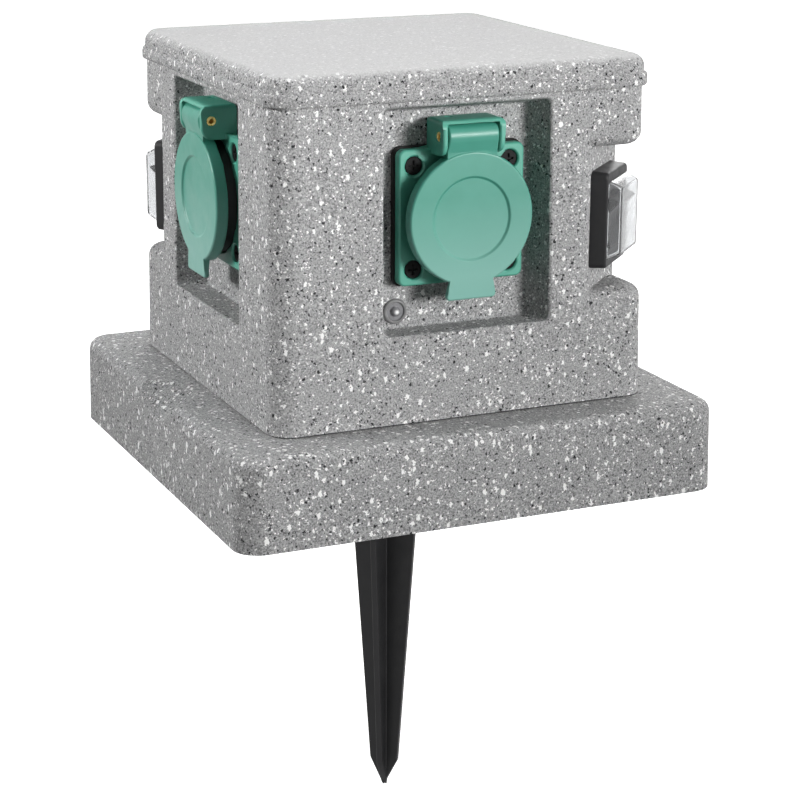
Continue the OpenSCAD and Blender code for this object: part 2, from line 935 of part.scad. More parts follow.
module hinge_pin(turn) {
    half = yoke_w / 2 - 0.2;
    color(brass)
        on_face(turn, socket_z)
            translate([0, hinge_rise, hinge_p])
                difference() {
                    rod_x(-half, half, pin_r);
                    rod_x(-half - 1, half + 1, pin_hole_r);
                }
}

// Side view of the lid's tongue, x up from the outlet's centre and y outwards
module tongue_view() {
    root = lid_r - 4;
    translate([hinge_rise, hinge_p])
        circle(r = knuckle_r);
    polygon([[root, lid_back + 0.1], [hinge_rise - 4, lid_back + 0.1], [hinge_rise, hinge_p - knuckle_r + 1.2],
             [hinge_rise, hinge_p + knuckle_r], [hinge_rise - 2.4, hinge_p + knuckle_r - 0.3],
             [lid_r, lid_front - 0.5], [root, lid_front - 0.5]]);
}

module lid(turn) {
    cup = 2.3;
    tab_bottom = -lid_r - tab_len;
    tab_r = 1.5;
    color(green)
        on_face(turn, socket_z)
            difference() {
                union() {
                    rotate_extrude($fn = 96)
                        polygon([[0, lid_back], [lid_r, lid_back], [lid_r, lid_front - 0.8],
                                 [lid_r - 0.3, lid_front - 0.25], [lid_r - 0.9, lid_front],
                                 [lid_panel_r + 0.3, lid_front], [lid_panel_r, lid_front - 0.8],
                                 [0, lid_front - 0.8]]);
                    intersection() {
                        side_plate(-knuckle_w / 2, knuckle_w / 2)
                            tongue_view();
                        translate([0, hinge_rise + knuckle_r - lid_r, lid_back])
                            slab(knuckle_w, 2 * lid_r, 3 * lid_depth, 1.2);
                    }
                    // Thumb tab, a little wider at its round lower corners
                    translate([0, 0, lid_front - 2])
                        linear_extrude(2)
                            hull() {
                                translate([-tab_w / 2 + 1.8, -lid_r + 3])
                                    square([tab_w - 3.6, 1]);
                                for (side = [-1, 1])
                                    translate([side * (tab_w / 2 - tab_r), tab_bottom + tab_r])
                                        circle(r = tab_r, $fn = 32);
                            }
                }
                // Hollow back of the disc
                translate([0, 0, lid_back - 1])
                    cylinder(r = lid_r - cup, h = 1 + lid_depth - cup);
                translate([0, hinge_rise, hinge_p]) {
                    rod_x(-knuckle_w, knuckle_w, pin_r + running);
                    rod_x(-spring_slot_w / 2, spring_slot_w / 2, spring_slot_r);
                }
                // Slot behind the knuckle for the spring's legs
                span([-spring_slot_w / 2, lid_r, lid_back - 4],
                     [spring_slot_w / 2, hinge_rise + knuckle_r + 1, hinge_p - 0.4]);
            }
}

module lid_seal(turn) {
    cup = 2.3;
    color(black)
        on_face(turn, socket_z)
            translate([0, 0, lid_back])
                difference() {
                    cylinder(r = lid_r - cup - 0.1, h = lid_depth - cup);
                    translate([0, 0, -1])
                        cylinder(r = recess_r + 0.2, h = lid_depth);
                }
}

// Points of the torsion spring, in its own frame: y in towards the pillar, z up.
// One leg lies in the tongue's slot, the other runs from under the coil to the yoke's web.
spring_steps = 75;
spring_sweep = 1350;
spring_half = 2.3;
function spring_coil(i) =
    let(a = spring_sweep * i / spring_steps)
    [(2 * i / spring_steps - 1) * spring_half, spring_r * cos(a), spring_r * sin(a)];
function spring_path() = concat(
    [[-spring_half, 1.1, -5]],
    [for (i = [0 : spring_steps]) spring_coil(i)],
    [[spring_half, hinge_p - web_front - 0.05, -spring_r]]);

// Round tube along points, for a path that never runs along local x
module tube_along(points, r, sides = 6) {
    count = len(points);
    function unit(v) = v / norm(v);
    function heading(i) = unit(points[min(i + 1, count - 1)] - points[max(i - 1, 0)]);
    function ring(i) =
        let(t = heading(i), e1 = unit([1, 0, 0] - t * t[0]), e2 = cross(t, e1))
        [for (k = [0 : sides - 1]) points[i] + r * (cos(360 * k / sides) * e1 + sin(360 * k / sides) * e2)];
    polyhedron(
        points = [for (i = [0 : count - 1]) each ring(i)],
        faces = concat(
            [[for (k = [sides - 1 : -1 : 0]) k]],
            [for (i = [0 : count - 2], k = [0 : sides - 1])
                [i * sides + k, i * sides + (k + 1) % sides, (i + 1) * sides + k]],
            [for (i = [0 : count - 2], k = [0 : sides - 1])
                [i * sides + (k + 1) % sides, (i + 1) * sides + (k + 1) % sides, (i + 1) * sides + k]],
            [[for (k = [0 : sides - 1]) (count - 1) * sides + k]]));
}

module lid_spring(turn) {
    color(steel)
        on_face(turn, socket_z)
            translate([0, hinge_rise, hinge_p])
                rotate([-90, 0, 0])
                    tube_along(spring_path(), spring_wire);
}

module switch_frame(turn) {
    color(black)
        on_face(turn, switch_z)
            difference() {
                hull() {
                    translate([0, 0, flat_distance])
                        linear_extrude(thin)
                            rounded(bezel_w, bezel_h, 2.5, $fn = 32);
                    translate([0, 0, bezel_front - 0.8])
                        linear_extrude(thin)
                            rounded(bezel_w - 0.5, bezel_h - 0.8, 2.3, $fn = 32);
                    translate([0, 0, bezel_front - thin])
                        linear_extrude(thin)
                            rounded(bezel_w - 1.7, bezel_h - 2, 1.8, $fn = 32);
                }
                translate([0, 0, flat_distance - 1])
                    slab(well_w + 0.6, 2 * well_half + 1, bezel_t + 2, 1);
            }
}

module switch_boot(turn) {
    color(clear)
        on_face(turn, switch_z)
            difference() {
                hull() {
                    translate([0, 0, bezel_front])
                        linear_extrude(0.6)
                            rounded(boot_w, boot_h, 1.6, $fn = 32);
                    translate([0, 0, boot_front - 0.5])
                        linear_extrude(thin)
                            rounded(boot_w - 2.2, boot_h - 3.6, 1.6, $fn = 32);
                    translate([0, 0, boot_front - thin])
                        linear_extrude(thin)
                            rounded(boot_w - 3, boot_h - 4.4, 1.2, $fn = 32);
                }
                hull() {
                    translate([0, 0, bezel_front - 1])
                        linear_extrude(1.4)
                            rounded(boot_w - 2 * boot_wall, boot_h - 2 * boot_wall, 1, $fn = 32);
                    translate([0, 0, boot_front - boot_wall - thin])
                        linear_extrude(thin)
                            rounded(boot_w - 2.4 - 2 * boot_wall, boot_h - 3.8 - 2 * boot_wall, 1, $fn = 32);
                }
            }
}

// Side view of the rocker in its middle position, x up and y outwards from its pivot
module rocker_view() {
    reach = (rocker_tip - rocker_pivot - rocker_half * sin(rocker_tilt)) / cos(rocker_tilt);
    polygon([[-rocker_half, reach - 0.4], [-rocker_half + 0.5, reach], [-3, reach - 3.6],
             [0, reach - 4.2], [3, reach - 3.6],
             [rocker_half - 0.5, reach], [rocker_half, reach - 0.4], [rocker_half + 0.9, reach - 5],
             [rocker_half + 0.6, 0], [5, -5], [-5, -5], [-rocker_half - 0.6, 0],
             [-rocker_half - 0.9, reach - 5]]);
}

module rocker(turn) {
    color(black)
        on_face(turn, switch_z)
            translate([0, 0, rocker_pivot])
                rotate([rocker_tilt, 0, 0]) {
                    side_plate(-rocker_w / 2, rocker_w / 2)
                        rocker_view();
                    rod_x(-rocker_w / 2 - 1.3, rocker_w / 2 + 1.3, 1.2);
                }
}

module switch_body(turn) {
    color("#2f3033")
        on_face(turn, switch_z)
            difference() {
                translate([0, 0, switch_body_back])
                    slab(switch_body_w, switch_body_h, switch_body_depth, 1);
                span([-well_w / 2, -well_half, rocker_pivot - 7.6],
                     [well_w / 2, well_half, flat_distance + 1]);
                translate([0, 0, rocker_pivot])
                    rod_x(-rocker_w / 2 - 1.6, rocker_w / 2 + 1.6, 1.2 + running);
            }
}

module switch_tabs(turn) {
    color(brass)
        on_face(turn, switch_z)
            for (y = [-8, 0, 8])
                span([-3.15, y - 0.4, switch_body_back - 8], [3.15, y + 0.4, switch_body_back]);
}

base_plinth();
base_plate();
base_plate_screws();
foot_seal();
body_housing();
body_screws();
cap_seal();
top_cap();
cap_screws();
ground_spike();
spike_screw();
gland_body();
gland_locknut();
gland_bush();
gland_nut();
terminal_block();
pilot_ring();
pilot_lens();
pilot_holder();
gasket(front_turn);  // front_gasket
flange(front_turn);  // front_flange
flange_screws(front_turn);  // front_flange_screws
insert(front_turn);  // front_insert
contacts(front_turn);  // front_contacts
earth_strap(front_turn);  // front_earth_strap
insert_back(front_turn);  // front_insert_back
hinge_pin(front_turn);  // front_hinge_pin
lid(front_turn);  // front_lid
lid_seal(front_turn);  // front_lid_seal
lid_spring(front_turn);  // front_lid_spring
gasket(left_turn);  // left_gasket
flange(left_turn);  // left_flange
flange_screws(left_turn);  // left_flange_screws
insert(left_turn);  // left_insert
contacts(left_turn);  // left_contacts
earth_strap(left_turn);  // left_earth_strap
insert_back(left_turn);  // left_insert_back
hinge_pin(left_turn);  // left_hinge_pin
lid(left_turn);  // left_lid
lid_seal(left_turn);  // left_lid_seal
lid_spring(left_turn);  // left_lid_spring
switch_frame(right_turn);  // right_switch_frame
switch_boot(right_turn);  // right_switch_boot
rocker(right_turn);  // right_rocker
switch_body(right_turn);  // right_switch_body
switch_tabs(right_turn);  // right_switch_tabs
switch_frame(rear_turn);  // rear_switch_frame
switch_boot(rear_turn);  // rear_switch_boot
rocker(rear_turn);  // rear_rocker
switch_body(rear_turn);  // rear_switch_body
switch_tabs(rear_turn);  // rear_switch_tabs
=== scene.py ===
# %% [markdown]
# Garden socket: loading the frame
#
# The solid model comes first. It holds every part of the garden socket at its real size,
# in metres, with the origin under the middle of the plinth. Everything below only dresses
# these solids, so we keep the size of the whole model now.

import json
import math

import bmesh
import bpy
from mathutils import Matrix, Vector
from mathutils.bvhtree import BVHTree
from mathutils.geometry import intersect_point_line

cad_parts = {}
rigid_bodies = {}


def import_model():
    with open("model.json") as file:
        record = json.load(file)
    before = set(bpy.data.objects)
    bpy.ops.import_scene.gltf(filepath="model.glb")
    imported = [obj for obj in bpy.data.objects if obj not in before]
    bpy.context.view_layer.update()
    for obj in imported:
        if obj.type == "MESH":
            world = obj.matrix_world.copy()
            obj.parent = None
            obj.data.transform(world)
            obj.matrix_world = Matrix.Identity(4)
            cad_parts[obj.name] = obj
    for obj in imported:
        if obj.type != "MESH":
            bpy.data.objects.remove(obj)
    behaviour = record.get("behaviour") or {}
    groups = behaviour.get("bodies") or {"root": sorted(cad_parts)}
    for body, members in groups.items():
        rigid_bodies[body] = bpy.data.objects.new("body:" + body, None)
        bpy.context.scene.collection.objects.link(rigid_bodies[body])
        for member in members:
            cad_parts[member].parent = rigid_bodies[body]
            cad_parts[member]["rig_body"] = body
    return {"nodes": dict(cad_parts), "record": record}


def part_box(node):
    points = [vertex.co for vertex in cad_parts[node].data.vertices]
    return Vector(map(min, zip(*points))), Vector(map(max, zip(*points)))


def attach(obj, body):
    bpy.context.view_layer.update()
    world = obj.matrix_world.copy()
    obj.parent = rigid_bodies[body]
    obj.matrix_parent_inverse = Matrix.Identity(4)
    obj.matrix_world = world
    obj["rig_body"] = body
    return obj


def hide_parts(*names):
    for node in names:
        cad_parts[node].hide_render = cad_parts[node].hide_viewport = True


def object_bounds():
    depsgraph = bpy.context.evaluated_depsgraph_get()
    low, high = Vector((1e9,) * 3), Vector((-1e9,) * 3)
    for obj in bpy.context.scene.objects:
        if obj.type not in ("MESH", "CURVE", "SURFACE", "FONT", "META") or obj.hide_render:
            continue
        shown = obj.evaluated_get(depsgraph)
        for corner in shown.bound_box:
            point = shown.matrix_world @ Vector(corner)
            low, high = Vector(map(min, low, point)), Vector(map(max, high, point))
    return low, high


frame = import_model()
cad_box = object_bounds()
scene = bpy.context.scene
print("CAD box", [round(v, 4) for corner in cad_box for v in corner])

# %% [markdown]
# Camera
#
# The photograph was taken a little above the cap and to the left of the front face, with a
# long lens. A camera in Blender looks along its own -Z, so we build its axes from the
# viewing direction: azimuth, elevation and a very small roll.

# %% Place the camera
AZIMUTH, ELEVATION, ROLL = (math.radians(a) for a in (24.05, 16.47, 0.20))
CAMERA_PLACE = Vector((-0.344354, -0.786623, 0.274289))
LENS_MM, SENSOR_MM = 100.154, 36.0


def camera_axes(azimuth, elevation, roll):
    """Right, up and forward directions of a camera that looks down onto the object."""
    forward = Vector((math.sin(azimuth) * math.cos(elevation),
                      math.cos(azimuth) * math.cos(elevation),
                      -math.sin(elevation)))
    right = Vector((math.cos(azimuth), -math.sin(azimuth), 0.0))
    up = right.cross(forward)
    return (right * math.cos(roll) + up * math.sin(roll),
            up * math.cos(roll) - right * math.sin(roll),
            forward)


def add_camera():
    data = bpy.data.cameras.new("camera")
    data.lens, data.sensor_width, data.sensor_fit = LENS_MM, SENSOR_MM, "HORIZONTAL"
    camera = bpy.data.objects.new("camera", data)
    scene.collection.objects.link(camera)
    right, up, forward = camera_axes(AZIMUTH, ELEVATION, ROLL)
    axes = Matrix((right, up, -forward)).transposed().to_4x4()
    camera.matrix_world = Matrix.Translation(CAMERA_PLACE) @ axes
    scene.camera = camera
    return camera


camera = add_camera()
print("camera at", [round(v, 3) for v in camera.location])

# %% [markdown]
# Lights
#
# In the photograph the walls of the pockets that face the camera's own side are dark, while
# the front and the left face are both bright and fade towards their foot. So one soft light
# stands to the right of the front and one to the left and a little behind. Both are narrow
# and aimed above the object, which gives that fade. One more hangs overhead, and a weak one
# keeps the back from going dull.

# %% Light the scene
def area_light(name, place, aim, size, power, spread=180.0):
    data = bpy.data.lights.new(name, "AREA")
    data.shape, data.size, data.energy, data.spread = "SQUARE", size, power, math.radians(spread)
    light = bpy.data.objects.new(name, data)
    light.location = place
    light.rotation_euler = (Vector(aim) - Vector(place)).to_track_quat("-Z", "Y").to_euler()
    scene.collection.objects.link(light)
    return light


area_light("top_light", (0.15, 0.25, 1.55), (0.0, 0.0, 0.1), 1.0, 12.5)
area_light("front_right_light", (1.00, -1.85, 0.55), (-0.30, -0.10, 0.50), 0.65, 5.9, 45.0)
area_light("left_rear_light", (-1.90, 0.52, 1.00), (-0.10, -0.05, 0.50), 0.65, 3.4, 36.0)
area_light("rear_fill_light", (1.10, 1.70, 0.70), (0.0, 0.0, 0.1), 0.9, 9.0)

# %% [markdown]
# The room
#
# The room itself is dim, or the pockets would lose their shadows. The backdrop must still be
# pure white, and so must what glossy plastic mirrors. A white box round the scene would light
# everything. So the world asks what kind of ray arrives, and shows white to the camera, in
# reflections and through clear parts, but only a faint glow to everything else.

# %% Make the world
ROOM_GLOW = 0.14


def make_world():
    world = bpy.data.worlds.new("studio")
    world.use_nodes = True
    tree = world.node_tree
    glow = tree.nodes["Background"]
    glow.inputs["Color"].default_value = (1.0, 1.0, 1.0, 1.0)
    ray = tree.nodes.new("ShaderNodeLightPath")
    seen = ray.outputs["Is Camera Ray"]
    for kind in ("Is Transmission Ray", "Is Glossy Ray"):
        either = tree.nodes.new("ShaderNodeMath")
        either.operation = "MAXIMUM"
        tree.links.new(seen, either.inputs[0])
        tree.links.new(ray.outputs[kind], either.inputs[1])
        seen = either.outputs[0]
    strength = tree.nodes.new("ShaderNodeMapRange")
    strength.inputs["To Min"].default_value = ROOM_GLOW
    strength.inputs["To Max"].default_value = 1.0
    tree.links.new(seen, strength.inputs["Value"])
    tree.links.new(strength.outputs["Result"], glow.inputs["Strength"])
    scene.world = world


make_world()
scene.view_settings.view_transform = "Standard"
print("world:", scene.world.name, "glow", ROOM_GLOW)

# %% [markdown]
# Material helpers
#
# Every finish here is a small tree of nodes round one Principled shader. The tree could be set
# up by hand in the shader editor, but code can reuse it. So a few helpers start a material,
# add a node, make a noise, turn a value into a range, and blend two colours. The noise reads
# Object coordinates, so that a pattern keeps its real size on every part.

# %% Helpers for node materials
def grey(tone):
    return (tone, tone, tone, 1.0)


class Finish:
    """One material: its node tree, its Principled shader and its Object coordinates."""

    def __init__(self, name, **sockets):
        self.material = bpy.data.materials.new(name)
        self.material.use_nodes = True
        self.tree = self.material.node_tree
        self.shader = self.tree.nodes["Principled BSDF"]
        for socket, value in sockets.items():
            self.shader.inputs[socket.replace("_", " ")].default_value = value
        self.place = self.tree.nodes.new("ShaderNodeTexCoord").outputs["Object"]

    def node(self, kind, settings=None, **links):
        made = self.tree.nodes.new("ShaderNode" + kind)
        for key, value in (settings or {}).items():
            if hasattr(made, key):
                setattr(made, key, value)
            else:
                made.inputs[key].default_value = value
        for key, value in links.items():
            self.tree.links.new(value, made.inputs[key.replace("_", " ")])
        return made

    def noise(self, scale, detail=2.0, roughness=0.5, at=None):
        made = self.node("TexNoise", {"Scale": scale, "Detail": detail, "Roughness": roughness})
        self.tree.links.new(at or self.place, made.inputs["Vector"])
        return made.outputs["Fac"]

    def ramp(self, value, low, high, start=0.0, end=1.0):
        made = self.node("MapRange", {"From Min": low, "From Max": high, "To Min": start, "To Max": end})
        self.tree.links.new(value, made.inputs["Value"])
        return made.outputs["Result"]

    def blend(self, factor, first, second):
        made = self.node("Mix", {"data_type": "RGBA"})
        for index, value in ((0, factor), (6, first), (7, second)):
            if isinstance(value, (tuple, float)):
                made.inputs[index].default_value = value
            else:
                self.tree.links.new(value, made.inputs[index])
        return made.outputs[2]

    def bump(self, height, distance, strength):
        made = self.node("Bump", {"Distance": distance, "Strength": strength}, Height=height)
        self.tree.links.new(made.outputs["Normal"], self.shader.inputs["Normal"])

    def drive(self, socket, value):
        self.tree.links.new(value, self.shader.inputs[socket])


print("plain CAD materials that the finishes will replace:", len(bpy.data.materials))

# %% [markdown]
# Floor
#
# The floor is a large disc just under the spike's tip. It is part of the stage, not of the
# object. It glows white by itself and is hidden from diffuse and glossy rays, so it keeps
# the page white without lighting the plinth from below.

# %% Make the floor
FLOOR_DROP, FLOOR_RADIUS = 0.003, 6.0


def make_floor():
    mesh = bpy.data.meshes.new("floor")
    shape = bmesh.new()
    bmesh.ops.create_circle(shape, cap_ends=True, segments=64, radius=FLOOR_RADIUS,
                            matrix=Matrix.Translation((0, 0, cad_box[0].z - FLOOR_DROP)))
    shape.to_mesh(mesh)
    shape.free()
    floor = bpy.data.objects.new("floor", mesh)
    scene.collection.objects.link(floor)
    floor.visible_diffuse = floor.visible_glossy = False
    paper = Finish("white_paper", Base_Color=grey(0.9), Roughness=0.9,
                   Emission_Color=grey(1.0), Emission_Strength=0.95)
    mesh.materials.append(paper.material)


make_floor()
print("floor at", round(cad_box[0].z - FLOOR_DROP, 4))

# %% [markdown]
# Chips in the stone
#
# The plinth, the pillar and the cap are moulded in a granite-look composite: a mid-grey
# ground full of white and black chips of about a millimetre. Chips could be painted into an
# image, but a pattern needs no seams and works on every shape. A Voronoi pattern scatters one
# centre per cell. Where a point is close to a centre it is inside a chip, and each cell's
# random colour decides how large its chip is, so some cells hold a big chip and some none.
# Each layer is turned and squeezed its own way, which makes its chips longer than wide, and
# bending the coordinates with a fine noise breaks their outlines.

# %% Helpers that scatter chips
# Each layer: cell size, smallest and largest radius in mm, squeeze, turn in degrees
WHITE_LARGE = (2.2, -0.62, 0.82, (1.0, 1.0, 0.62), (35.0, 20.0, 0.0))
WHITE_SMALL = (1.05, -0.12, 0.43, (0.7, 1.0, 1.0), (0.0, 35.0, 50.0))
BLACK_LARGE = (1.8, -0.54, 0.64, (1.0, 0.75, 1.0), (20.0, 50.0, 10.0))
BLACK_SMALL = (1.15, -0.13, 0.43, (1.0, 1.0, 0.8), (60.0, 10.0, 25.0))
CHIP_EDGE_MM = 0.07
SHAKE_SCALE, SHAKE_REACH = 1100.0, 0.0022


def chips(stone, place, layer, grown_mm=0.0):
    """1 inside a chip and 0 outside."""
    cell_mm, low_mm, high_mm, squeeze, turn = layer
    low_mm, high_mm = low_mm + grown_mm, high_mm + grown_mm
    turned = stone.node("Mapping", {"Scale": squeeze, "Rotation": tuple(math.radians(a) for a in turn)},
                        Vector=place)
    cells = stone.node("TexVoronoi", {"Scale": 1000.0 / cell_mm, "Randomness": 1.0}, Vector=turned.outputs[0])
    chance = stone.node("SeparateColor", Color=cells.outputs["Color"]).outputs["Red"]
    radius = stone.ramp(chance, 0.0, 1.0, low_mm / cell_mm, high_mm / cell_mm)
    inside = stone.node("Math", {"operation": "SUBTRACT"})
    stone.tree.links.new(radius, inside.inputs[0])
    stone.tree.links.new(cells.outputs["Distance"], inside.inputs[1])
    return stone.ramp(inside.outputs[0], 0.0, CHIP_EDGE_MM / cell_mm)


def bent_place(stone):
    """Object coordinates, shaken by a fine noise."""
    shake = stone.node("TexNoise", {"Scale": SHAKE_SCALE, "Detail": 3.0, "Roughness": 0.65},
                       Vector=stone.place)
    bend = stone.node("VectorMath", {"operation": "SCALE", "Scale": SHAKE_REACH})
    stone.tree.links.new(shake.outputs["Color"], bend.inputs[0])
    bent = stone.node("VectorMath", {"operation": "ADD"})
    stone.tree.links.new(stone.place, bent.inputs[0])
    stone.tree.links.new(bend.outputs[0], bent.inputs[1])
    return bent.outputs[0]


def either_of(stone, first, second):
    both = stone.node("Math", {"operation": "MAXIMUM"})
    stone.tree.links.new(first, both.inputs[0])
    stone.tree.links.new(second, both.inputs[1])
    return both.outputs[0]


print("white cells in mm:", WHITE_LARGE[0], WHITE_SMALL[0], "black:", BLACK_LARGE[0], BLACK_SMALL[0])

# %% [markdown]
# Painted sheen on the stone's tops
#
# A pale tone is painted on what faces up, as a painted sheen for the light that washes out the
# tops: thick on the cap, whose chips look faint, and thin on the plinth. A second material on
# the top faces would end in a hard line. So the shader asks how far a surface faces up and how
# high it is, and blends the painted sheen in softly.

# %% Helper that paints the sheen on the tops
# Painted sheen: this pale tone on up-facing stone stands for the light that washes the tops out.
PAINTED_SHEEN_TONE = grey(0.57)


def painted_top_sheen(stone, colour, top, depth, facing_up, amount):
    """Painted pale sheen on what lies near the height top and faces up."""
    normal = stone.node("NewGeometry")
    facing = stone.node("SeparateXYZ", Vector=normal.outputs["Normal"])
    height = stone.node("SeparateXYZ", Vector=stone.place)
    both = stone.node("Math", {"operation": "MULTIPLY"})
    stone.tree.links.new(stone.ramp(facing.outputs["Z"], *facing_up), both.inputs[0])
    stone.tree.links.new(stone.ramp(height.outputs["Z"], top - depth, top - depth / 8), both.inputs[1])
    return stone.blend(both.outputs[0], colour, stone.blend(amount, colour, PAINTED_SHEEN_TONE))


print("dust tone", PAINTED_SHEEN_TONE[0])

# %% [markdown]
# The stone finishes
#
# The ground between the chips isn't even: soft clouds change its tone, and a fine grit makes
# it sparkle. The plinth has more white in it, and its ground is painted darker as painted
# shade for the lower part of the object. The three finishes share one recipe, so they stay of
# one kind and differ in a few numbers only.

# %% Make the stone finishes
GROUND_LOW, GROUND_HIGH, GROUND_BLUE = 0.275, 0.375, 1.01
GRIT_DARK, GRIT_PALE, GRIT_SHARE = grey(0.09), grey(0.70), 0.54
GROUND_CLOUD_SCALE, GRIT_SCALE = 420.0, 1500.0
WHITE_CHIP, BLACK_CHIP = (0.97, 0.97, 0.96, 1.0), (0.025, 0.025, 0.027, 1.0)
GROUND_ROUGH, CHIP_ROUGH = 0.66, 0.48
CHIP_RELIEF, GRIT_RELIEF_SHARE = 0.00012, 0.6


def ground_colour(tone):
    return (tone, tone, tone * GROUND_BLUE, 1.0)


def make_stone(name, ground_tone=1.0, grown_mm=0.0, shine=0.15, dull=0.0, top_sheen=None):
    stone = Finish(name, Specular_IOR_Level=shine)
    bent = bent_place(stone)
    cloud = stone.ramp(stone.noise(GROUND_CLOUD_SCALE, 3.0, 0.6), 0.32, 0.68)
    ground = stone.blend(cloud, ground_colour(GROUND_LOW * ground_tone),
                         ground_colour(GROUND_HIGH * ground_tone))
    grit = stone.ramp(stone.noise(GRIT_SCALE, 2.0, 0.7), 0.36, 0.64)
    ground = stone.blend(grit, stone.blend(GRIT_SHARE, ground, GRIT_DARK),
                         stone.blend(GRIT_SHARE, ground, GRIT_PALE))

    white = either_of(stone, chips(stone, bent, WHITE_LARGE, grown_mm), chips(stone, bent, WHITE_SMALL))
    black = either_of(stone, chips(stone, bent, BLACK_LARGE), chips(stone, bent, BLACK_SMALL))
    speckled = stone.blend(black, stone.blend(white, ground, WHITE_CHIP), BLACK_CHIP)
    # Painted sheen: up-facing tops are blended towards a pale tone, for the light falling on them.
    if top_sheen is not None:
        speckled = painted_top_sheen(stone, speckled, *top_sheen)
    stone.drive("Base Color", speckled)
    stone.drive("Roughness", stone.ramp(white, 0.0, 1.0, GROUND_ROUGH + dull, CHIP_ROUGH + dull))
    relief = stone.node("Math", {"operation": "MULTIPLY_ADD"})
    stone.tree.links.new(grit, relief.inputs[0])
    relief.inputs[1].default_value = GRIT_RELIEF_SHARE
    stone.tree.links.new(white, relief.inputs[2])
    stone.bump(relief.outputs[0], CHIP_RELIEF, 0.5)
    return stone.material


stone_finish = make_stone("granite_speckle")
# Painted shade: the plinth's ground tone 0.83 darkens it for the shade on the lower part.
plinth_finish = make_stone("granite_speckle_plinth", ground_tone=0.83, grown_mm=0.12,
                           top_sheen=(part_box("base_plinth")[1].z, 0.003, (0.5, 0.95), 0.12))
# The cap's top gets a thick painted sheen and the plinth's top a thin one.
cap_finish = make_stone("granite_speckle_cap", shine=0.06, dull=0.24,
                        top_sheen=(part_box("top_cap")[1].z, 0.005, (0.30, 0.95), 0.76))
print("stone finishes:", stone_finish.name, plinth_finish.name, cap_finish.name)

# %% [markdown]
# Moulded plastics and rubber
#
# The outlets are a satin sea-green plastic, while the switch frames, the rockers, the plug
# recess and the spike are black. Moulded plastic is never quite even: the gloss changes in
# soft clouds, and a fine spark-eroded grain breaks the highlight. A plain colour would look
# like paint. Rubber is the same idea with far less gloss. A lid's green is painted darker
# above and paler and greyer towards its lower end: a painted reflection of light from below.

# %% Make the plastics and the rubber
CLOUD_SCALE = 90.0


def make_plastic(name, dark, light, gloss, grain_scale, grain_depth, shine=0.5, painted_low_sheen=None):
    plastic = Finish(name, Specular_IOR_Level=shine)
    cloud = plastic.ramp(plastic.noise(CLOUD_SCALE, 3.0), 0.3, 0.7)
    tone = plastic.blend(cloud, dark, light)
    if painted_low_sheen is not None:
        # Painted reflection: the tone turns paler towards the lower end, for light mirrored from below.
        low_sheen_tone, foot, head = painted_low_sheen
        height = plastic.node("SeparateXYZ", Vector=plastic.place)
        tone = plastic.blend(plastic.ramp(height.outputs["Z"], foot, head, 1.0, 0.0), tone, low_sheen_tone)
    plastic.drive("Base Color", tone)
    plastic.drive("Roughness", plastic.ramp(plastic.noise(CLOUD_SCALE * 2.3, 2.0), 0.3, 0.7, *gloss))
    plastic.bump(plastic.noise(grain_scale, 3.0, 0.6), grain_depth, 0.5)
    return plastic.material


# Each plastic: dark and light tone, range of roughness, scale and depth in metres of the grain
green_finish = make_plastic("green_plastic", (0.070, 0.335, 0.245, 1), (0.085, 0.37, 0.277, 1),
                            (0.36, 0.46), 2600.0, 0.00003)
# The lid's green is painted darker above and paler below: a painted reflection of light from below.
lid_finish = make_plastic("green_lid_plastic", (0.045, 0.265, 0.195, 1), (0.055, 0.290, 0.217, 1),
                          (0.36, 0.46), 2600.0, 0.00003, painted_low_sheen=((0.17, 0.41, 0.345, 1.0), 0.089, 0.118))
black_finish = make_plastic("black_plastic", (0.012, 0.012, 0.013, 1), (0.019, 0.019, 0.020, 1),
                            (0.38, 0.5), 2200.0, 0.00004, shine=0.3)
screw_finish = make_plastic("black_screw", (0.008, 0.008, 0.008, 1), (0.014, 0.014, 0.014, 1),
                            (0.45, 0.6), 2200.0, 0.00004, shine=0.1)
rubber_finish = make_plastic("black_rubber", (0.012, 0.012, 0.012, 1), (0.02, 0.02, 0.02, 1),
                             (0.7, 0.85), 1500.0, 0.00005, shine=0.2)
cream_finish = make_plastic("cream_plastic", (0.60, 0.56, 0.46, 1), (0.66, 0.62, 0.52, 1),
                            (0.35, 0.45), 2400.0, 0.00002)
grey_finish = make_plastic("grey_plastic", (0.17, 0.17, 0.17, 1), (0.23, 0.23, 0.23, 1),
                           (0.3, 0.42), 2400.0, 0.00002)
print("plastics:", [f.name for f in (green_finish, lid_finish, black_finish, screw_finish, rubber_finish,
                                     cream_finish, grey_finish)])

# %% [markdown]
# Metals
#
# The hinge pins and contacts are brass and the screws and springs are zinc-plated steel.
# Turned and drawn metal has fine marks along its length. Cutting them would cost thousands
# of faces, so a stretched noise stands for them in colour, gloss and relief.

# %% Make the metals
def make_metal(name, dark, light, gloss, streaks, metallic=1.0):
    metal = Finish(name, Metallic=metallic)
    squeezed = metal.node("Mapping", {"Scale": streaks}, Vector=metal.place)
    marks = metal.noise(900.0, 4.0, 0.6, at=squeezed.outputs[0])
    metal.drive("Base Color", metal.blend(metal.ramp(marks, 0.3, 0.7), dark, light))
    metal.drive("Roughness", metal.ramp(marks, 0.3, 0.7, *gloss))
    metal.bump(marks, 0.00002, 0.4)
    return metal.material


brass_finish = make_metal("brass", (0.95, 0.68, 0.20, 1), (1.0, 0.82, 0.34, 1),
                          (0.25, 0.4), (1, 0.2, 1), metallic=0.7)
steel_finish = make_metal("zinc_steel", (0.45, 0.46, 0.47, 1), (0.66, 0.67, 0.68, 1),
                          (0.28, 0.45), (1, 1, 0.2))
print("metals:", brass_finish.name, steel_finish.name)

